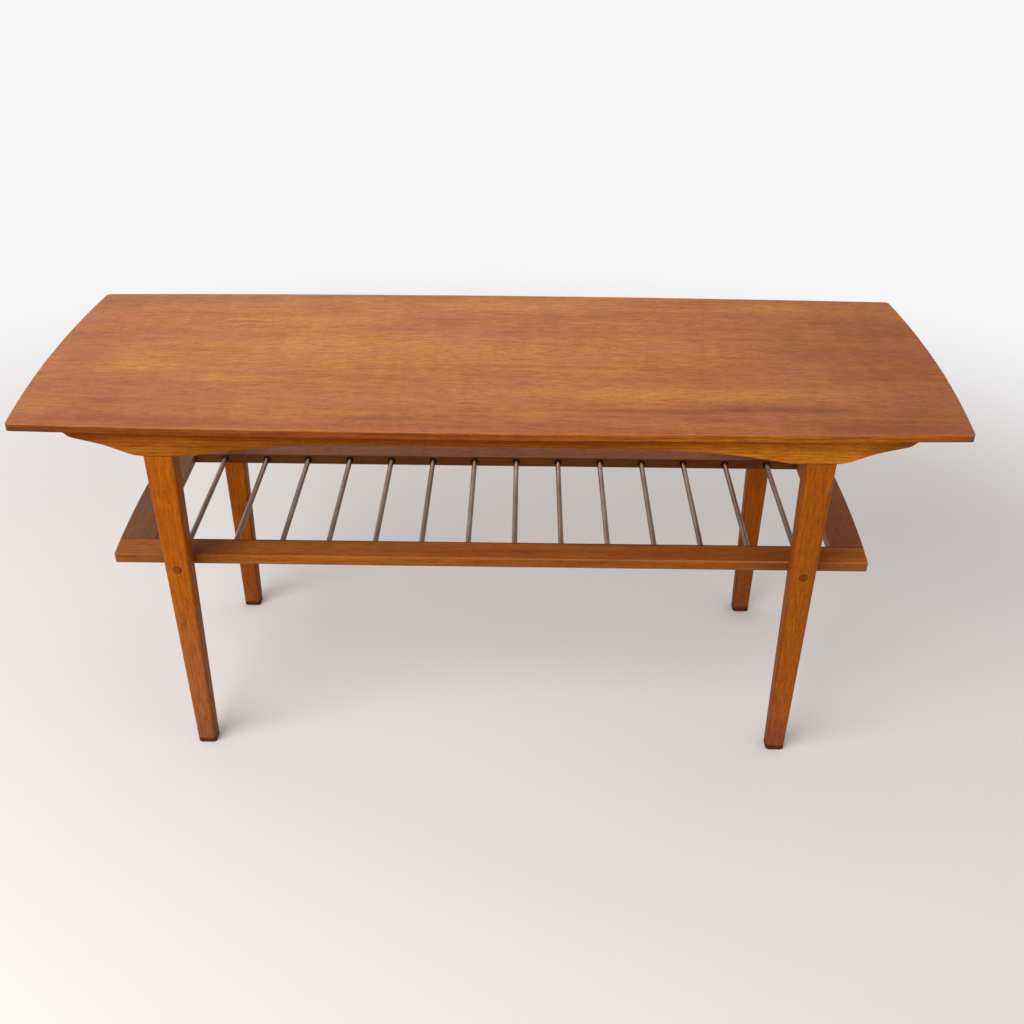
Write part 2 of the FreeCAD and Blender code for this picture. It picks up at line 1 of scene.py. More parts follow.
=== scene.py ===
# Coffee table with a magazine rack: finishes, screws, floor, lights and camera
# Metres, Z up, the table's front towards -Y.
import math
import bmesh
import bpy
from mathutils import Matrix, Vector


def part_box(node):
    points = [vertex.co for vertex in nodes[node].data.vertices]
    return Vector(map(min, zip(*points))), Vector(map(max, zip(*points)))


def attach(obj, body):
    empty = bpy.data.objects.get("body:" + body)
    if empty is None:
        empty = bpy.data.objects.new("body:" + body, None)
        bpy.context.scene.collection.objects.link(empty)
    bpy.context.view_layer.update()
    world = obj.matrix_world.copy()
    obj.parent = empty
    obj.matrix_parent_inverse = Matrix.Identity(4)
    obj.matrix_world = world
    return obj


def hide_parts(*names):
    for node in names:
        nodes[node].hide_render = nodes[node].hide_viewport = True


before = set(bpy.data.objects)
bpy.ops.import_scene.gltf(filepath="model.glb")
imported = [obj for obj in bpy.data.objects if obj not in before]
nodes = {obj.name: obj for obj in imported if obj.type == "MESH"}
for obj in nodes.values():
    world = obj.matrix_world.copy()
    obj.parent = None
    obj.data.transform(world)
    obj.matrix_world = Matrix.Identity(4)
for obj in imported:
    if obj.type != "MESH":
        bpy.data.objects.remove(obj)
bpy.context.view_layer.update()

MM = 0.001
EDGE_THICKNESS = 8.5 * MM


def centre_of(name):
    low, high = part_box(name)
    return (Vector(low) + Vector(high)) / 2


# Places read from the frame
RODS = sorted(name for name in nodes if name.startswith("rod_"))
FIRST_ROD = centre_of(RODS[0])
ROD_PITCH = (centre_of(RODS[-1]).x - FIRST_ROD.x) / (len(RODS) - 1)
ROD_RADIUS = (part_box(RODS[0])[1][0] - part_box(RODS[0])[0][0]) / 2
PLUG_RADIUS = (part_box("plug_front_left")[1][0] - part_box("plug_front_left")[0][0]) / 2
RACK_INNER_FACE = -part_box("shelf_rail_front")[1][1]
LEG_AT_RAIL = centre_of("plug_front_right").x
RAIL_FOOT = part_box("shelf_rail_front")[0][2]
EDGE_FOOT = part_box("table_top")[1][2] - EDGE_THICKNESS


# Colours
def tone(red, green, blue):
    """Linear colour from the 0 to 255 values that a picture shows."""
    linear = []
    for part in (red, green, blue):
        share = part / 255
        linear.append(share / 12.92 if share <= 0.04045 else ((share + 0.055) / 1.055) ** 2.4)
    return (*linear, 1.0)


# Node trees
class Tree:
    """A material's node tree, filled by short calls that each give the socket they end in."""

    def __init__(self, node_tree):
        self.nodes = node_tree.nodes
        self.links = node_tree.links
        self.nodes.clear()

    def put(self, kind, inputs=None, **settings):
        node = self.nodes.new(kind)
        for name, setting in settings.items():
            setattr(node, name, setting)
        for key, source in (inputs or {}).items():
            self.feed(node.inputs[key], source)
        return node

    def feed(self, socket, source):
        if isinstance(source, bpy.types.NodeSocket):
            self.links.new(source, socket)
        else:
            socket.default_value = source

    def math(self, operation, first, second=0.0, third=0.0):
        inputs = {0: first, 1: second, 2: third}
        return self.put("ShaderNodeMath", inputs, operation=operation).outputs[0]

    def product(self, *factors):
        result = factors[0]
        for factor in factors[1:]:
            result = self.math("MULTIPLY", result, factor)
        return result

    def length(self, first, second):
        """Length of a line from its two parts, which lie square to each other."""
        squares = self.math("ADD", self.product(first, first), self.product(second, second))
        return self.math("SQRT", squares)

    def vector(self, operation, first, second):
        node = self.put("ShaderNodeVectorMath", {0: first, 1: second}, operation=operation)
        return node.outputs[0]

    def split(self, vector):
        return self.put("ShaderNodeSeparateXYZ", {0: vector}).outputs

    def join(self, x, y, z):
        return self.put("ShaderNodeCombineXYZ", {0: x, 1: y, 2: z}).outputs[0]

    def normal(self):
        """The way that the surface faces, split into its three numbers."""
        return self.split(self.put("ShaderNodeNewGeometry").outputs["Normal"])

    def reach(self, vector, centre, half_sizes):
        """Distance from a centre, 1 on the rim of an ellipsoid with those half sizes."""
        offset = self.vector("SUBTRACT", vector, centre)
        scaled = self.vector("DIVIDE", offset, half_sizes)
        return self.put("ShaderNodeVectorMath", {0: scaled}, operation="LENGTH").outputs["Value"]

    def between(self, number, low, high, start=0.0, end=1.0):
        """Number taken smoothly from start at low to end at high."""
        node = self.put(
            "ShaderNodeMapRange",
            {"Value": number, "From Min": low, "From Max": high, "To Min": start, "To Max": end},
            interpolation_type="SMOOTHSTEP",
        )
        return node.outputs["Result"]

    def mix(self, share, first, second):
        node = self.put("ShaderNodeMix", {0: share}, data_type="RGBA")
        # a colour mix has its two colours at 6 and 7 and its result at 2
        self.feed(node.inputs[6], first)
        self.feed(node.inputs[7], second)
        return node.outputs[2]

    def shade(self, colour, factor):
        """Colour made lighter or darker by a factor."""
        return self.vector("MULTIPLY", colour, self.join(factor, factor, factor))

    def change(self, colour, mask, most):
        """Colour made lighter or darker by a share of itself, as far as the mask goes."""
        return self.shade(colour, self.math("MULTIPLY_ADD", mask, most, 1.0))

    def stain(self, colour, mask, stain, strength=1.0):
        """Colour covered by another, as far as the mask and the strength go."""
        return self.mix(self.product(mask, strength), colour, stain)

    def noise(self, vector, scales, detail=2.0, roughness=0.5):
        """Noise from 0 to 1 with its own scale along each axis, in repeats a metre."""
        node = self.put(
            "ShaderNodeTexNoise",
            {
                "Vector": self.vector("MULTIPLY", vector, scales),
                "Scale": 1.0,
                "Detail": detail,
                "Roughness": roughness,
            },
        )
        return node.outputs[0]

    def ramp(self, share, stops):
        node = self.put("ShaderNodeValToRGB", {0: share})
        points = node.color_ramp.elements
        while len(points) < len(stops):
            points.new(0.5)
        for point, (place, colour) in zip(points, stops):
            point.position = place
            point.color = colour
        return node.outputs[0]

    def edges(self, radius):
        """1 on the arrises and 0 on the flats."""
        rounded = self.put("ShaderNodeBevel", {"Radius": radius}, samples=4).outputs[0]
        flat = self.put("ShaderNodeNewGeometry").outputs["Normal"]
        facing = self.put("ShaderNodeVectorMath", {0: rounded, 1: flat}, operation="DOT_PRODUCT")
        return self.between(facing.outputs["Value"], 0.995, 0.93)

    def blend(self, share, first, second):
        """Mix of two shader nodes."""
        return self.put("ShaderNodeMixShader", {0: share, 1: first.outputs[0], 2: second.outputs[0]})

    def finish(self, colour, roughness, bump, **constants):
        inputs = {"Base Color": colour, "Roughness": roughness, "Normal": bump}
        inputs.update({name.replace("_", " "): number for name, number in constants.items()})
        shader = self.put("ShaderNodeBsdfPrincipled")
        for name, source in inputs.items():
            self.feed(shader.inputs[name], source)
        self.put("ShaderNodeOutputMaterial", {"Surface": shader.outputs[0]})


def new_material(name):
    """A material with an empty tree that knows the object's own coordinates."""
    material = bpy.data.materials.new(name)
    material.use_nodes = True
    tree = Tree(material.node_tree)
    tree.place = tree.put("ShaderNodeTexCoord").outputs["Object"]
    tree.axes = tuple(tree.split(tree.place))
    return material, tree


# Teak
AMBER = (1.0, 0.62, 0.32, 1.0)
WHITE = (1.0, 1.0, 1.0, 1.0)

# the pith, round which the growth rings lie
PITH_ASIDE = 0.035
PITH_BELOW = 0.12
RINGS_A_METRE = 230.0
# how far the wear and painted highlight reach from an arris
ARRIS_WIDTH = 2.4 * MM

# spread: how far the figure runs from dark to gold, less being stronger; grain, rings and rub: strength
# of the fine marks, of the growth rings' lines and of the wear and painted highlight along the arrises;
# worn: the colour of that wear and painted highlight; sheen: specular level
TEAK_TONES = {
    "frame": {
        "dark": tone(142, 64, 9),
        "body": tone(161, 84, 10),
        "gold": tone(175, 100, 14),
        "pore": tone(78, 32, 4),
        "wear_and_highlight_tone": tone(186, 108, 34),
        "spread": 0.34,
        "grain": 0.9,
        "rings": 0.16,
        "rub": 0.25,
        "sheen": 0.10,
        "tint": AMBER,
    },
    "apron": {
        "dark": tone(132, 67, 11),
        "body": tone(165, 92, 18),
        "gold": tone(190, 118, 32),
        "pore": tone(76, 34, 4),
        "wear_and_highlight_tone": tone(190, 114, 34),
        "spread": 0.24,
        "grain": 0.9,
        "rings": 0.45,
        "rub": 0.20,
        "sheen": 0.10,
        "tint": AMBER,
    },
    # a strong, pale arris tone: wear, and a painted highlight along the rails' arrises
    "rack": {
        "dark": tone(124, 60, 17),
        "body": tone(154, 86, 27),
        "gold": tone(174, 104, 38),
        "pore": tone(66, 28, 8),
        "wear_and_highlight_tone": tone(220, 152, 98),
        "spread": 0.26,
        "grain": 0.8,
        "rings": 0.30,
        "rub": 1.00,
        "sheen": 0.13,
        "tint": AMBER,
    },
    # the same wood as the rack, darker and greyer for the end boards; the grey is a painted reflection
    # of the pale surroundings
    "rack_end": {
        "dark": tone(110, 60, 28),
        "body": tone(126, 72, 34),
        "gold": tone(142, 86, 44),
        "pore": tone(66, 34, 16),
        "wear_and_highlight_tone": tone(176, 112, 64),
        "spread": 0.32,
        "grain": 0.7,
        "rings": 0.14,
        "rub": 0.50,
        "sheen": 0.20,
        "tint": WHITE,
    },
    "top": {
        "dark": tone(164, 88, 38),
        "body": tone(185, 110, 48),
        "gold": tone(198, 124, 52),
        "pore": tone(112, 56, 22),
        "wear_and_highlight_tone": tone(200, 130, 68),
        "spread": 0.26,
        "grain": 1.0,
        "rings": 0.10,
        "rub": 0.50,
        "sheen": 0.20,
        "tint": WHITE,
    },
    "plug": {
        "dark": tone(98, 45, 9),
        "body": tone(122, 63, 14),
        "gold": tone(138, 77, 22),
        "pore": tone(60, 26, 6),
        "wear_and_highlight_tone": tone(140, 78, 28),
        "spread": 0.26,
        "grain": 0.8,
        "rings": 0.14,
        "rub": 0.15,
        "sheen": 0.10,
        "tint": AMBER,
    },
}


def teak(name, order, shift, tones, marks=(), tilt_deg=0.0):
    """Oiled teak; order names the axes along the grain, across it and into the board.

    A mark changes the colour, and may set tree.rubbed and tree.sheen for its piece.
    """
    material, tree = new_material(name)
    tree.tones = TEAK_TONES[tones]
    tree.rubbed, tree.sheen = 1.0, tree.tones["sheen"]
    turned = tree.join(*(tree.axes["xyz".index(letter)] for letter in order))
    tilt = (0.0, 0.0, math.radians(tilt_deg))
    mapping = tree.put("ShaderNodeMapping", {"Vector": turned, "Location": shift, "Rotation": tilt})
    moved = mapping.outputs[0]

    # the grain wanders in long curves and in short waves
    wood = moved
    for scales, size in (((1.3, 6.0, 6.0), 0.020), ((7.0, 26.0, 26.0), 0.0018)):
        stretched = tree.vector("MULTIPLY", moved, scales)
        swing = tree.put("ShaderNodeTexNoise", {"Vector": stretched, "Scale": 1.0, "Detail": 2.0})
        swing = tree.vector("SUBTRACT", swing.outputs[1], (0.5, 0.5, 0.5))
        wood = tree.vector("ADD", wood, tree.vector("MULTIPLY", swing, (0.0, size, size)))

    # growth rings round a pith that lies below the board
    parts = tree.split(wood)
    across = tree.math("ADD", parts[1], PITH_ASIDE)
    radius = tree.length(across, tree.math("ADD", parts[2], PITH_BELOW))
    ring = tree.math("FRACT", tree.math("MULTIPLY", radius, RINGS_A_METRE))
    late_wood = tree.product(tree.between(ring, 0.0, 0.82), tree.between(ring, 0.86, 1.0, 1.0, 0.0))

    bands = tree.noise(wood, (1.6, 14.0, 14.0), 3.0, 0.55)
    streaks = tree.noise(wood, (5.0, 95.0, 95.0), 3.0, 0.6)
    flecks = tree.noise(wood, (40.0, 400.0, 400.0), 3.0, 0.6)
    dashes = tree.noise(wood, (66.0, 620.0, 620.0), 1.0, 0.5)
    fibres = tree.noise(wood, (150.0, 850.0, 850.0), 2.0, 0.6)
    pores = tree.noise(wood, (110.0, 1500.0, 1500.0), 1.0, 0.5)
    ripple = tree.noise(moved, (48.0, 10.0, 10.0), 2.0, 0.5)

    share = tree.math("MULTIPLY_ADD", bands, 0.55, tree.product(streaks, 0.45))
    stops = [(0.0, tree.tones["dark"]), (0.5, tree.tones["body"]), (1.0, tree.tones["gold"])]
    spread, strength = tree.tones["spread"], tree.tones["grain"]
    colour = tree.ramp(tree.between(share, 0.5 - spread, 0.5 + spread), stops)
    colour = tree.stain(colour, late_wood, tree.tones["dark"], tree.tones["rings"])
    for mark in marks:
        colour = mark(tree, colour)
    grain = tree.product(
        tree.between(flecks, 0.28, 0.62, 1.0 - 0.20 * strength, 1.0 + 0.07 * strength),
        tree.between(fibres, 0.25, 0.75, 1.0 - 0.12 * strength, 1.0 + 0.10 * strength),
        tree.between(ripple, 0.25, 0.75, 1.0 - 0.05 * strength, 1.0 + 0.05 * strength),
    )
    warm = tree.math("POWER", grain, 1.35)
    colour = tree.vector("MULTIPLY", colour, tree.join(grain, warm, warm))
    colour = tree.stain(colour, tree.between(dashes, 0.58, 0.67), tree.tones["pore"], 0.34 * strength)
    pore_mask = tree.between(pores, 0.60, 0.72)
    colour = tree.stain(colour, pore_mask, tree.tones["pore"], 0.45 * strength)
    # wear along the arrises, with a painted highlight on them
    rub = tree.product(tree.edges(ARRIS_WIDTH), tree.between(streaks, 0.35, 0.6, 0.4, 1.0), tree.rubbed)
    colour = tree.stain(colour, rub, tree.tones["wear_and_highlight_tone"], tree.tones["rub"])

    smear = tree.noise(moved, (6.0, 9.0, 9.0), 3.0, 0.6)
    dullness = 0.16 - 0.8 * tree.tones["sheen"]
    roughness = tree.between(smear, 0.3, 0.7, 0.36 + dullness, 0.48 + dullness)
    roughness = tree.math("MULTIPLY_ADD", pore_mask, 0.15, roughness)
    relief = tree.math("SUBTRACT", tree.product(fibres, 0.35), pore_mask)
    bump = tree.put("ShaderNodeBump", {"Height": relief, "Distance": 0.06 * MM, "Strength": 0.7})
    gloss = {"IOR": 1.5, "Specular_IOR_Level": tree.sheen, "Specular_Tint": tree.tones["tint"]}
    tree.finish(colour, roughness, bump.outputs[0], **gloss)
    return material


# Marks on single pieces: x runs along the table, y from its front to its rear and z up, in metres
GOLDEN = tone(206, 137, 56)
UMBER = tone(128, 66, 30)
REDDISH = tone(168, 84, 34)
ROSY = tone(186, 108, 68)
HONEY = tone(200, 128, 52)
# painted shade round the rod holes
PAINTED_HOLE_SHADE = tone(30, 16, 10)

# sheen of the top's sides, which mirror less than its face
SIDE_SHEEN = 0.08
# the lower border of the shade under the overhang rises by this times x squared
SHADE_RISE = 0.0163
# the dark line round a plug: the gap that it follows, and how far it spreads on the leg and on the plug
PLUG_GAP = 0.1 * MM
LINE_ON_LEG = 0.7 * MM
LINE_ON_PLUG = 1.2 * MM

# soft patches of the top's figure: colour, strength, and middle, half length and half width in mm
TOP_FIGURE = (
    (GOLDEN, 0.60, -435, -42, 75, 42),
    (GOLDEN, 0.45, -330, -72, 100, 16),
    (GOLDEN, 0.70, 230, -102, 330, 22),
    (GOLDEN, 0.40, -270, 112, 260, 20),
    (GOLDEN, 0.45, -525, -152, 40, 26),
    (GOLDEN, 0.50, 250, -184, 130, 11),
    (GOLDEN, 0.35, 0, 170, 280, 34),
    (GOLDEN, 0.30, 380, 165, 130, 34),
    (GOLDEN, 0.30, -230, 40, 140, 60),
    (UMBER, 0.60, 350, -139, 120, 14),
    (UMBER, 0.40, 190, -146, 140, 9),
    (UMBER, 0.50, -120, -172, 120, 9),
    (UMBER, 0.35, -115, 82, 75, 6),
    (UMBER, 0.30, -440, -134, 70, 12),
    (UMBER, 0.30, -330, 104, 60, 6),
    (UMBER, 0.35, -520, 168, 60, 26),
    (UMBER, 0.28, 455, 20, 160, 120),
    (REDDISH, 0.45, -520, 10, 60, 60),
    (REDDISH, 0.50, 40, -192, 560, 16),
    (REDDISH, 0.70, -410, -182, 140, 22),
    (REDDISH, 0.50, 460, -184, 120, 26),
    (REDDISH, 0.45, 520, 0, 110, 260),
)


def top_figure(tree, colour):
    swell = tree.noise(tree.place, (9.0, 24.0, 24.0), 3.0, 0.6)
    fields = tree.noise(tree.place, (4.0, 22.0, 22.0), 3.0, 0.6)
    colour = tree.mix(tree.between(fields, 0.46, 0.62, 0.0, 0.5), colour, ROSY)
    colour = tree.mix(tree.between(fields, 0.46, 0.32, 0.0, 0.45), colour, HONEY)
    for stain, strength, x, y, half_length, half_width in TOP_FIGURE:
        half_sizes = (half_length * MM, half_width * MM, 10.0)
        distance = tree.reach(tree.place, (x * MM, y * MM, 0.0), half_sizes)
        mask = tree.between(tree.math("MULTIPLY_ADD", swell, 1.3, distance), 1.75, 0.75)
        colour = tree.stain(colour, mask, stain, strength)
    return colour


def top_sides(tree, colour):
    """Painted light and shade darken the face towards its ends and front; the edges are golden brown
    with dark lines.
    """
    x, y, z = tree.axes
    # painted light and shade: darker towards the ends and the front, lighter at the rear
    painted_light_falloff = tree.product(
        tree.between(x, 0.15, 0.62, 1.0, 0.83),
        tree.between(x, -0.22, -0.52, 1.0, 0.87),
        tree.between(y, -0.20, 0.00, 0.92, 1.12),
    )
    warm = tree.math("POWER", painted_light_falloff, 1.3)
    colour = tree.vector("MULTIPLY", colour, tree.join(painted_light_falloff, warm, warm))
    lines = tree.between(tree.noise(tree.place, (9.0, 420.0, 520.0), 2.0, 0.6), 0.44, 0.60)
    rim = tree.mix(tree.between(x, -0.10, 0.35), tone(134, 64, 10), tone(172, 96, 18))
    rim = tree.stain(rim, lines, tone(96, 44, 8), 0.6)
    rim = tree.stain(rim, tree.between(x, 0.46, 0.53), tone(142, 66, 26), 0.6)
    rim = tree.shade(rim, tree.between(x, -0.42, -0.50, 1.0, 0.75))
    # painted shade along the rim's lower arris, strongest at the ends
    below_arris = tree.between(z, EDGE_FOOT + 2.6 * MM, EDGE_FOOT + 0.6 * MM)
    strength = tree.between(tree.math("ABSOLUTE", x), 0.44, 0.52, 0.10, 0.55)
    rim = tree.stain(rim, below_arris, tone(70, 32, 6), strength)
    side = tree.between(tree.normal()[2], 0.8, 0.4)
    tree.rubbed = tree.between(z, EDGE_FOOT + 3.0 * MM, EDGE_FOOT + 5.5 * MM)
    face_sheen = tree.tones["sheen"]
    tree.sheen = tree.math("MULTIPLY_ADD", side, SIDE_SHEEN - face_sheen, face_sheen)
    return tree.stain(colour, side, rim, 0.95)


def arch_shade(tree, colour):
    """Painted shade along the apron's arch, at its tips and under the top; painted light to the right.
    """
    x, _, z = tree.axes
    # painted shade: darker at the tips and along the arch
    tips = tree.between(tree.math("ABSOLUTE", x), 0.42, 0.49, 1.0, 0.55)
    colour = tree.shade(colour, tree.product(tree.between(x, -0.38, -0.30, 1.0, 0.80), tips))
    # painted light: lighter and goldener towards the right
    gold = [tree.between(x, 0.13, 0.31, 1.0, most) for most in (1.80, 1.98, 2.20)]
    colour = tree.vector("MULTIPLY", colour, tree.join(*gold))
    # the top overhangs most in the middle, so its shade reaches lowest there
    level = tree.math("MULTIPLY_ADD", tree.product(x, x), -SHADE_RISE, z)
    under = tree.between(level, EDGE_FOOT - 27 * MM, EDGE_FOOT - 18.5 * MM)
    strength = tree.between(x, 0.10, 0.28, 0.95, 0.50)
    return tree.stain(colour, under, tone(132, 57, 4), strength)


def foot_wear_and_shade(tree, colour):
    """Redder wood towards the floor, painted shade on the inner sides, and dirt round the foot.

    The left legs are paler above, the front left one duller below, and the rear ones darker below, a
    painted shade.
    """
    x, y, z = tree.axes
    left = tree.math("LESS_THAN", x, 0.0)
    front = tree.math("LESS_THAN", y, 0.0)
    colour = tree.stain(colour, tree.between(z, 0.22, 0.04), tone(158, 82, 42), 0.40)
    # painted shade: the rear legs darker low down, under the top
    rear_low = tree.product(tree.between(y, 0.0, 0.1), tree.between(z, 0.25, 0.10))
    colour = tree.change(colour, rear_low, -0.22)
    colour = tree.change(colour, tree.product(left, tree.between(z, 0.16, 0.32)), 0.14)
    dull = tree.product(left, front, tree.between(z, 0.28, 0.14))
    colour = tree.stain(colour, dull, tone(152, 98, 70), 0.3)
    strength = tree.math("MULTIPLY_ADD", front, 0.35, 0.15)
    colour = tree.stain(colour, tree.between(z, 0.07, 0.02), tone(124, 72, 48), strength)
    # painted shade on the inner sides, which face under the table
    normal = tree.normal()
    outward = tree.math("MULTIPLY", normal[0], tree.math("SIGN", x))
    inner = tree.between(outward, -0.35, -0.85)
    colour = tree.change(colour, inner, -0.30)
    tree.rubbed = tree.math("SUBTRACT", 1.0, inner)
    ragged = tree.noise(tree.place, (160.0, 160.0, 40.0))
    height = tree.math("MULTIPLY_ADD", ragged, 6.0 * MM, z)
    # less on the sole than round it
    strength = tree.between(normal[2], -0.5, -0.9, 0.80, 0.40)
    return tree.stain(colour, tree.between(height, 14.0 * MM, 8.0 * MM), tone(48, 25, 12), strength)


def ring_round(centre, radius, width):
    """Dark line round a plug, as a mark for the plug and for the leg round it."""

    def mark(tree, colour):
        offset = tree.split(tree.vector("SUBTRACT", tree.place, tuple(centre)))
        distance = tree.length(offset[0], offset[2])
        off_line = tree.math("ABSOLUTE", tree.math("SUBTRACT", distance, radius))
        return tree.stain(colour, tree.between(off_line, width, 0.2 * width), tone(66, 30, 10), 0.65)

    return mark


def rail_faces(tree, colour):
    """Painted light and reflection on the tops, painted shadow next to the legs, and a dull lower edge.
    """
    x, y, z = tree.axes
    upward = tree.between(tree.normal()[2], 0.6, 0.9)
    # painted light on the tops, paler to the right, and a painted grey reflection on the rear rail's
    # top
    faded = tree.shade(colour, tree.between(x, -0.25, 0.20, 1.06, 1.36))
    faded = tree.stain(faded, tree.between(y, 0.0, 0.1), tone(188, 126, 90), 0.8)
    colour = tree.mix(upward, colour, faded)
    along = tree.math("ABSOLUTE", x)
    inside = tree.math("LESS_THAN", along, LEG_AT_RAIL)
    # painted shadow of the legs on the rails next to them
    painted_leg_shadow = tree.product(tree.between(along, 0.74 * LEG_AT_RAIL, 0.94 * LEG_AT_RAIL), inside)
    colour = tree.change(colour, painted_leg_shadow, -0.30)
    low_edge = tree.between(z, RAIL_FOOT + 6.0 * MM, RAIL_FOOT + 0.5 * MM)
    return tree.stain(colour, low_edge, tone(123, 82, 58), 0.6)


def rail_ends(tree, colour):
    """Outside the legs, the left end is pale on top and dark in front, and the right end is amber."""
    x = tree.axes[0]
    upward = tree.between(tree.normal()[2], 0.6, 0.9)
    left_end = tree.between(x, -0.94 * LEG_AT_RAIL, -1.02 * LEG_AT_RAIL)
    right_end = tree.between(x, 0.94 * LEG_AT_RAIL, 1.02 * LEG_AT_RAIL)
    colour = tree.stain(colour, left_end, tone(136, 88, 56), 0.22)
    strength = tree.math("MULTIPLY_ADD", upward, -0.13, 0.21)
    colour = tree.stain(colour, right_end, tone(170, 106, 52), strength)
    colour = tree.change(colour, left_end, tree.math("MULTIPLY_ADD", upward, 0.29, -0.18))
    return tree.change(colour, right_end, tree.math("MULTIPLY_ADD", upward, 0.10, -0.10))


def rail_inside(tree, colour):
    """Painted shade on the inner faces, darkest in rings round the holes; arris wear with a painted
    highlight elsewhere.
    """
    x, y, z = tree.axes
    start = FIRST_ROD.x - ROD_PITCH / 2
    across = tree.math("WRAP", x, start + ROD_PITCH, start)
    across = tree.math("SUBTRACT", across, FIRST_ROD.x)
    above = tree.math("SUBTRACT", z, FIRST_ROD.z)
    near_hole = tree.between(tree.length(across, above), 1.8 * ROD_RADIUS, 1.25 * ROD_RADIUS)
    inward = tree.math("SUBTRACT", tree.math("ABSOLUTE", y), RACK_INNER_FACE)
    inner = tree.between(inward, 2.5 * MM, 1.5 * MM)
    # arris wear with a painted highlight, stronger on parts of the front arris
    tree.rubbed = tree.product(
        tree.between(inward, 3.0 * MM, 6.0 * MM),
        tree.between(z, RAIL_FOOT + 4.0 * MM, RAIL_FOOT + 8.0 * MM),
        tree.between(x, -0.40, -0.34, 1.0, 0.6),
        tree.between(x, 0.08, 0.14, 1.0, 1.6),
        tree.between(x, 0.30, 0.38, 1.0, 1.6),
    )
    # painted shade on the inner faces under the top, and darker rings of painted shade round the rod
    # holes
    colour = tree.stain(colour, inner, tone(64, 34, 14), 0.65)
    return tree.stain(colour, tree.product(near_hole, inner), PAINTED_HOLE_SHADE, 0.7)


def end_shade(tree, colour):
    """The right end of the rack is redder than the left, and greyer from its middle back."""
    right = tree.math("GREATER_THAN", tree.axes[0], 0.0)
    greyer_rear = tree.product(right, tree.between(tree.axes[1], -0.10, -0.02))
    factors = []
    for base, by_right, by_dust in ((1.00, 0.56, 0.00), (1.10, 0.10, 0.26), (1.14, -0.19, 0.30)):
        shaded = tree.math("MULTIPLY_ADD", right, by_right, base)
        factors.append(tree.math("MULTIPLY_ADD", greyer_rear, by_dust, shaded))
    return tree.vector("MULTIPLY", colour, tree.join(*factors))


# Metal and beech
# how brown each rod is, over and over along the rack
ROD_BROWNS = (0.10, 0.30, 0.00, 0.15, 0.20, 0.45, 0.05)


def rod_metal(name, shift, brown):
    """Steel rod, dulled and browned by age, with a painted dark reflection down its sides and painted
    light at its rear.
    """
    material, tree = new_material(name)
    moved = tree.vector("ADD", tree.place, shift)
    patina = tree.noise(moved, (60.0, 14.0, 60.0), 4.0, 0.65)
    drawn = tree.noise(moved, (1400.0, 12.0, 1400.0), 2.0, 0.6)
    spots = tree.noise(moved, (420.0, 300.0, 420.0), 2.0, 0.5)
    stops = [(0.30, tone(128, 104, 90)), (0.52, tone(160, 136, 119)), (0.75, tone(186, 166, 150))]
    spot_mask = tree.between(spots, 0.60, 0.72)
    colour = tree.stain(tree.ramp(patina, stops), spot_mask, tone(84, 60, 44), 0.55)
    colour = tree.mix(brown, colour, tone(150, 108, 78))
    # painted reflection: darker down the sides, as the metal mirrors darker surroundings there
    colour = tree.stain(colour, tree.between(tree.normal()[2], 0.96, 0.45), tone(82, 59, 48), 0.85)
    # painted light: brighter towards the rear rail
    painted_light_rearward = tree.between(tree.axes[1], 0.3 * RACK_INNER_FACE, RACK_INNER_FACE)
    colour = tree.change(colour, painted_light_rearward, 0.5)
    roughness = tree.math("MULTIPLY_ADD", drawn, 0.16, 0.24)
    roughness = tree.math("MULTIPLY_ADD", spot_mask, 0.2, roughness)
    bump = tree.put("ShaderNodeBump", {"Height": drawn, "Distance": 0.02 * MM, "Strength": 0.5})
    tree.finish(colour, roughness, bump.outputs[0], Metallic=0.9)
    return material


def screw_steel():
    """Plain steel with a grey-brown skin."""
    material, tree = new_material("screw_steel")
    skin = tree.noise(tree.place, (500.0, 500.0, 500.0), 3.0, 0.6)
    stops = [(0.3, tone(96, 84, 72)), (0.6, tone(146, 142, 136))]
    roughness = tree.between(skin, 0.3, 0.7, 0.5, 0.3)
    bump = tree.put("ShaderNodeBump", {"Height": skin, "Distance": 0.02 * MM, "Strength": 0.4})
    tree.finish(tree.ramp(skin, stops), roughness, bump.outputs[0], Metallic=0.9)
    return material


def beech(name):
    """Pale dowel wood with short dark flecks; the dowels lie along Y."""
    material, tree = new_material(name)
    streaks = tree.noise(tree.place, (260.0, 12.0, 260.0), 3.0, 0.6)
    flecks = tree.noise(tree.place, (900.0, 160.0, 900.0), 2.0, 0.5)
    stops = [(0.3, tone(196, 150, 104)), (0.6, tone(222, 184, 138))]
    fleck_mask = tree.between(flecks, 0.62, 0.70)
    colour = tree.stain(tree.ramp(streaks, stops), fleck_mask, tone(150, 100, 62), 0.5)
    roughness = tree.between(streaks, 0.3, 0.7, 0.55, 0.68)
    bump = tree.put("ShaderNodeBump", {"Height": streaks, "Distance": 0.05 * MM, "Strength": 0.5})
    tree.finish(colour, roughness, bump.outputs[0], IOR=1.5, Specular_IOR_Level=0.3)
    return material


# Finishes of the solids
def finish_node(name, material):
    data = nodes[name].data
    data.materials.clear()
    data.materials.append(material)


def finish_teak(name, order, shift, tones, marks=(), tilt_deg=0.0):
    finish_node(name, teak(f"{name}_teak", order, shift, tones, marks, tilt_deg))


def finish_teak_row(names, order, shift, step, tones, marks=(), tilt_deg=0.0):
    """Each piece is cut from its own part of the tree, one step further on."""
    for number, name in enumerate(names):
        place = tuple(start + number * stride for start, stride in zip(shift, step))
        finish_teak(name, order, place, tones, marks, tilt_deg)


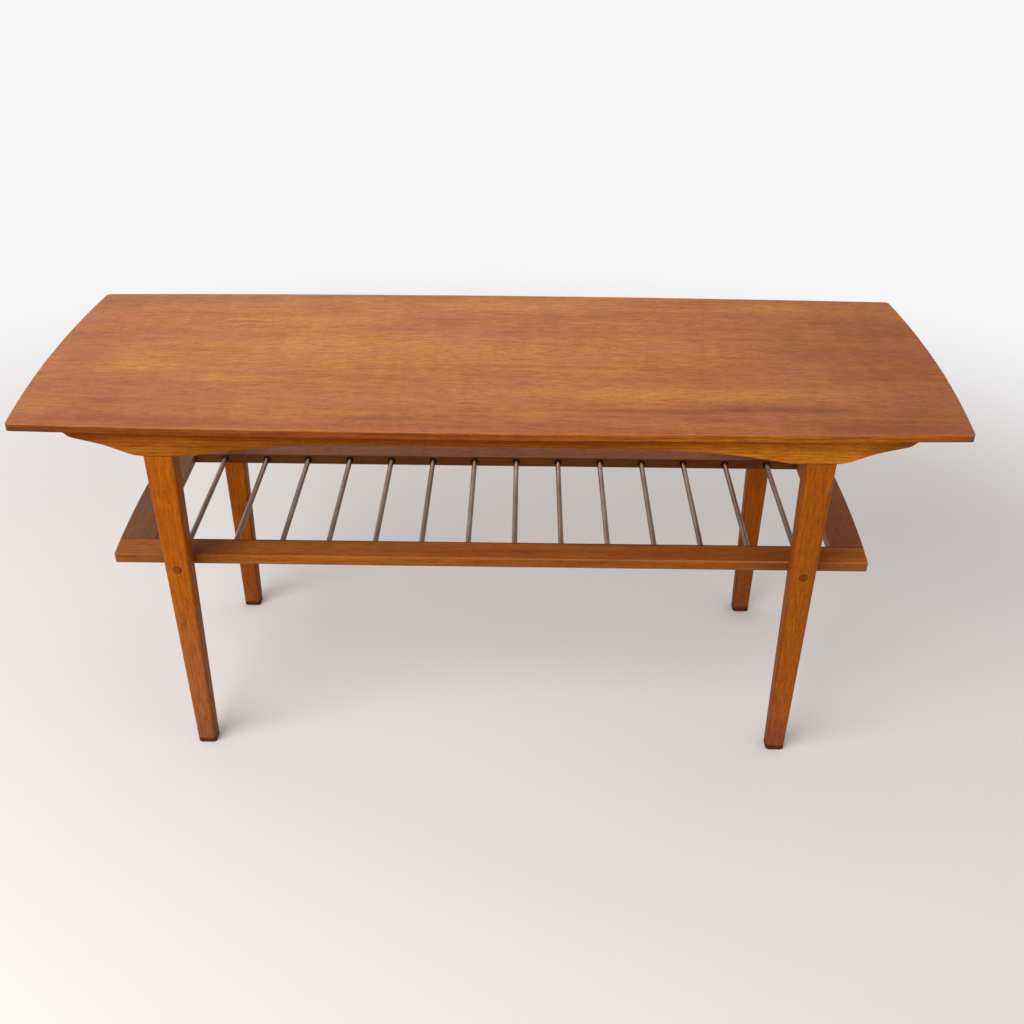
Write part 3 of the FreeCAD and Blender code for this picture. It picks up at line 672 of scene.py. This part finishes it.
aprons = ["front_apron", "rear_apron"]
corners = [f"{row}_{side}" for row in ("front", "rear") for side in ("left", "right")]
rails = ["shelf_rail_front", "shelf_rail_rear"]
end_boards = ["shelf_end_left", "shelf_end_right"]
cross_rails = ["cross_rail_left", "cross_rail_right"]
rail_marks = (rail_faces, rail_ends, rail_inside)

finish_teak("table_top", "xyz", (3.1, 0.4, 0.1), "top", (top_figure, top_sides), 0.4)
finish_teak_row(aprons, "xzy", (1.7, 0.9, 0.0), (1.0, 0.0, 0.3), "apron", (arch_shade,), 0.3)
for number, corner in enumerate(corners):
    middle = centre_of(f"plug_{corner}")
    on_leg = ring_round(middle, PLUG_RADIUS + PLUG_GAP, LINE_ON_LEG)
    on_plug = ring_round(middle, PLUG_RADIUS, LINE_ON_PLUG)
    place = (0.7 * number + 0.2, 0.31 * number, 0.11)
    finish_teak(f"leg_{corner}", "zxy", place, "frame", (foot_wear_and_shade, on_leg), 1.0 - 0.6 * number)
    finish_teak(f"plug_{corner}", "zxy", place, "plug", (on_plug,))
finish_teak_row(rails, "xyz", (2.3, 0.6, 0.05), (1.4, 0, 0), "rack", rail_marks, -0.3)
finish_teak_row(end_boards, "yxz", (0.0, 1.3, 0.2), (0.9, 0, 0), "rack_end", (end_shade,), 0.8)
finish_teak_row(cross_rails, "yzx", (0.0, 2.3, 0.2), (0.5, 0, 0), "rack")
for number, name in enumerate(RODS):
    brown = ROD_BROWNS[number % len(ROD_BROWNS)]
    finish_node(name, rod_metal(f"{name}_metal", (0.7 * number, 0.31 * number, 0.0), brown))
for name in ("top_screws", "leg_screws"):
    finish_node(name, screw_steel())
for name in ("shelf_dowels", "cross_rail_dowels"):
    finish_node(name, beech(f"{name}_beech"))


# Screws: slotted heads and threads, in the places of the CAD's plain ones
HEAD_HEIGHT = 2.8 * MM
HEAD_ROUNDING = 0.7 * MM
SLOT_WIDTH = 1.2 * MM
SLOT_DEPTH = 1.3 * MM
SHANK_RADIUS = 2.25 * MM
CORE_RADIUS = 1.6 * MM
POINT_LENGTH = 4.0 * MM
POINT_RADIUS = 0.1 * MM
NECK_STEP = 0.6 * MM
THREAD_PITCH = 1.9 * MM
# half the width of the thread's foot, and how much of the shank it covers
THREAD_FOOT = 0.32 * THREAD_PITCH
THREAD_SHARE = 0.62
STEPS_A_TURN = 20
STEPS_ROUND_HEAD = 40
# the screws of a node lie further apart than this
SCREW_SPACE = 10 * MM
# points closer than this are taken as one
TINY = 0.001 * MM


def screw_boxes(node, axis):
    """Lowest and highest corner of each screw of a node whose screws lie along one axis."""
    across = [number for number in range(3) if number != axis]
    groups = []
    for vertex in nodes[node].data.vertices:
        for group in groups:
            near = all(abs(vertex.co[n] - group[0][n]) < SCREW_SPACE for n in across)
            if near and vertex.co[axis] * group[0][axis] > 0:
                group.append(vertex.co)
                break
        else:
            groups.append([vertex.co])
    return [[Vector(map(pick, zip(*group))) for pick in (min, max)] for group in groups]


def add_head(build, radius):
    """A round head on z = 0, rounded at its rim, with a slot from side to side."""
    bmesh.ops.create_circle(build, cap_ends=True, segments=STEPS_ROUND_HEAD, radius=radius)
    for side in (-1, 1):
        whole = build.verts[:] + build.edges[:] + build.faces[:]
        place = (side * SLOT_WIDTH / 2, 0.0, 0.0)
        bmesh.ops.bisect_plane(build, geom=whole, plane_co=place, plane_no=(1.0, 0.0, 0.0))
    # the whole head rises as far as the slot's floor, then only what lies beside the slot
    for floor, lift in ((True, HEAD_HEIGHT - SLOT_DEPTH), (False, SLOT_DEPTH)):
        level = min(vertex.co.z for vertex in build.verts)
        flat = [face for face in build.faces if all(abs(v.co.z - level) < TINY for v in face.verts)]
        kept = [face for face in flat if floor or abs(face.calc_center_median().x) > SLOT_WIDTH / 2]
        made = bmesh.ops.extrude_face_region(build, geom=kept)["geom"]
        raised = [item for item in made if isinstance(item, bmesh.types.BMVert)]
        bmesh.ops.translate(build, verts=raised, vec=(0.0, 0.0, -lift))
        if not floor:
            bmesh.ops.delete(build, geom=kept, context="FACES_ONLY")
    rim = [
        edge
        for edge in build.edges
        if all(v.co.z < TINY - HEAD_HEIGHT and v.co.xy.length > radius - TINY for v in edge.verts)
    ]
    bmesh.ops.bevel(build, geom=rim, offset=HEAD_ROUNDING, segments=4, profile=0.5, affect="EDGES")


def add_strip(build, rows, closed):
    """Faces between each row of points and the next."""
    made = [[build.verts.new(point) for point in row] for row in rows]
    for first, second in zip(made, made[1:]):
        count = len(first) if closed else len(first) - 1
        for number in range(count):
            after = (number + 1) % len(first)
            build.faces.new((first[number], first[after], second[after], second[number]))


def on_circle(radius, angle, z):
    return radius * math.cos(angle), radius * math.sin(angle), z


def add_shank(build, length):
    """A smooth neck, then a core that runs to a point with a thread wound round it."""
    neck = length * (1 - THREAD_SHARE)
    straight = length - POINT_LENGTH
    profile = (
        (SHANK_RADIUS, 0.0),
        (SHANK_RADIUS, neck),
        (CORE_RADIUS, neck + NECK_STEP),
        (CORE_RADIUS, straight),
        (POINT_RADIUS, length),
    )
    turn = [math.tau * number / STEPS_A_TURN for number in range(STEPS_A_TURN)]
    rows = [[on_circle(radius, angle, z) for angle in turn] for radius, z in profile]
    add_strip(build, rows, True)
    thread = []
    turns = (length - neck - THREAD_PITCH) / THREAD_PITCH
    steps = int(turns * STEPS_A_TURN)
    for step in range(steps + 1):
        angle = math.tau * step / STEPS_A_TURN
        z = neck + THREAD_PITCH * (0.5 + step / STEPS_A_TURN)
        taper = min(1.0, max(0.0, (length - z) / POINT_LENGTH))
        rise = min(1.0, step / STEPS_A_TURN, (steps - step) / STEPS_A_TURN)
        foot = 0.9 * CORE_RADIUS * taper
        crest = foot + (SHANK_RADIUS * taper - foot) * rise
        points = ((foot, z - THREAD_FOOT), (crest, z), (foot, z + THREAD_FOOT))
        thread.append([on_circle(radius, angle, height) for radius, height in points])
    add_strip(build, thread, False)


def make_screws(node, axis, inward):
    """inward gives, from a screw's middle, the way that it points along its axis."""
    build = bmesh.new()
    for number, (low, high) in enumerate(screw_boxes(node, axis)):
        middle = (low + high) / 2
        way = Vector((0.0, 0.0, 0.0))
        way[axis] = inward(middle)
        half = (high[axis] - low[axis]) / 2
        one = bmesh.new()
        add_head(one, (high.x - low.x) / 2)
        add_shank(one, 2 * half - HEAD_HEIGHT)
        bmesh.ops.recalc_face_normals(one, faces=one.faces)
        facing = way.to_track_quat("Z", "Y").to_matrix().to_4x4()
        # each slot was left at its own angle
        slot_turn = Matrix.Rotation(1.1 * number + 0.5, 4, "Z")
        seat = middle - way * (half - HEAD_HEIGHT)
        one.transform(Matrix.Translation(seat) @ facing @ slot_turn)
        part = bpy.data.meshes.new("part")
        one.to_mesh(part)
        build.from_mesh(part)
        bpy.data.meshes.remove(part)
        one.free()
    mesh = bpy.data.meshes.new(f"{node}_threaded")
    build.to_mesh(mesh)
    build.free()
    mesh.shade_smooth()
    mesh.set_sharp_from_angle(angle=math.radians(35))
    mesh.materials.append(screw_steel())
    piece = bpy.data.objects.new(f"{node}_threaded", mesh)
    bpy.context.scene.collection.objects.link(piece)
    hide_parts(node)
    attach(piece, "root")


make_screws("top_screws", 2, lambda middle: 1.0)
make_screws("leg_screws", 1, lambda middle: -math.copysign(1.0, middle.y))


# Floor and light
FLOOR_SIZE = 30.0
FLOOR_COLOUR = (0.860, 0.812, 0.790, 1.0)
SHADED_FLOOR_COLOUR = (0.960, 0.910, 0.888, 1.0)
BACKDROP_COLOUR = (0.93, 0.925, 0.94, 1.0)
WORLD_STRENGTH = 0.62


def make_floor():
    """A pale floor that fades into the white backdrop, and that is clear when seen from below."""
    mesh = bpy.data.meshes.new("floor")
    square = [(x * FLOOR_SIZE, y * FLOOR_SIZE, 0.0) for x, y in ((-1, -1), (1, -1), (1, 1), (-1, 1))]
    mesh.from_pydata(square, [], [(0, 1, 2, 3)])
    floor = bpy.data.objects.new("floor", mesh)
    bpy.context.scene.collection.objects.link(floor)
    material, tree = new_material("floor_paint")
    # painted light: paler paint where the table's shadow falls, which weakens that shadow
    shaded = tree.between(tree.reach(tree.place, (0.10, 0.12, 0.0), (0.80, 0.55, 1.0)), 1.0, 0.2)
    colour = tree.mix(shaded, FLOOR_COLOUR, SHADED_FLOOR_COLOUR)
    paint = tree.put("ShaderNodeBsdfPrincipled", {"Base Color": colour, "Roughness": 0.9})
    white = tree.put("ShaderNodeEmission", {"Color": BACKDROP_COLOUR, "Strength": 1.0})
    clear = tree.put("ShaderNodeBsdfTransparent")
    path = tree.put("ShaderNodeLightPath")
    seen = tree.math("MAXIMUM", path.outputs["Is Camera Ray"], path.outputs["Is Glossy Ray"])
    far = tree.between(tree.reach(tree.place, (0.0, 0.0, 0.0), (1.15, 1.0, 1.0)), 0.80, 1.75)
    faded = tree.blend(tree.product(far, seen), paint, white)
    below = tree.put("ShaderNodeNewGeometry").outputs["Backfacing"]
    shader = tree.blend(tree.product(below, path.outputs["Is Camera Ray"]), faded, clear)
    tree.put("ShaderNodeOutputMaterial", {"Surface": shader.outputs[0]})
    mesh.materials.append(material)


def make_world():
    """Plain white all round; what the gloss mirrors falls off towards the right, away from the key."""
    world = bpy.data.worlds.new("studio")
    bpy.context.scene.world = world
    world.use_nodes = True
    tree = Tree(world.node_tree)
    path = tree.put("ShaderNodeLightPath")
    seen = tree.math("MAXIMUM", path.outputs["Is Camera Ray"], path.outputs["Is Glossy Ray"])
    sideways = tree.split(tree.put("ShaderNodeTexCoord").outputs["Generated"])[0]
    mirrored = tree.between(sideways, -0.35, 0.45, 1.0, 0.50)
    strength = tree.math("MAXIMUM", mirrored, path.outputs["Is Camera Ray"])
    plain = tree.put("ShaderNodeBackground", {"Color": WHITE, "Strength": WORLD_STRENGTH})
    white = tree.put("ShaderNodeBackground", {"Color": BACKDROP_COLOUR, "Strength": strength})
    both = tree.blend(seen, plain, white)
    tree.put("ShaderNodeOutputWorld", {"Surface": both.outputs[0]})


def add_lamp(name, place, aim, width, height, power):
    lamp = bpy.data.lights.new(name, "AREA")
    lamp.shape = "RECTANGLE"
    lamp.size = width
    lamp.size_y = height
    lamp.energy = power
    holder = bpy.data.objects.new(name, lamp)
    bpy.context.scene.collection.objects.link(holder)
    holder.location = place
    holder.rotation_euler = (Vector(aim) - Vector(place)).to_track_quat("-Z", "Y").to_euler()
    holder.visible_camera = False


make_floor()
make_world()
add_lamp("key", place=(-1.41, -1.56, 1.88), aim=(0.0, 0.0, 0.35), width=2.2, height=1.6, power=47.0)


# Camera
CAMERA_PLACE = (0.0389, -1.3935, 1.1431)
PITCH_DEG = 31.969
YAW_DEG = -0.554
ROLL_DEG = 0.405
IMAGE_WIDTH_PX = 1024
FOCAL_PX = 1199.5


def make_camera():
    pitch, yaw, roll = (math.radians(angle) for angle in (PITCH_DEG, YAW_DEG, ROLL_DEG))
    forward = math.cos(pitch)
    ahead = Vector((math.sin(yaw) * forward, math.cos(yaw) * forward, -math.sin(pitch)))
    level = Vector((math.cos(yaw), -math.sin(yaw), 0.0))
    above = level.cross(ahead)
    right = math.cos(roll) * level + math.sin(roll) * above
    up = -math.sin(roll) * level + math.cos(roll) * above
    data = bpy.data.cameras.new("camera")
    data.lens = FOCAL_PX / IMAGE_WIDTH_PX * data.sensor_width
    camera = bpy.data.objects.new("camera", data)
    bpy.context.scene.collection.objects.link(camera)
    turned = Matrix((right, up, -ahead)).transposed().to_4x4()
    camera.matrix_world = Matrix.Translation(CAMERA_PLACE) @ turned
    bpy.context.scene.camera = camera


make_camera()
bpy.context.scene.view_settings.view_transform = "Standard"
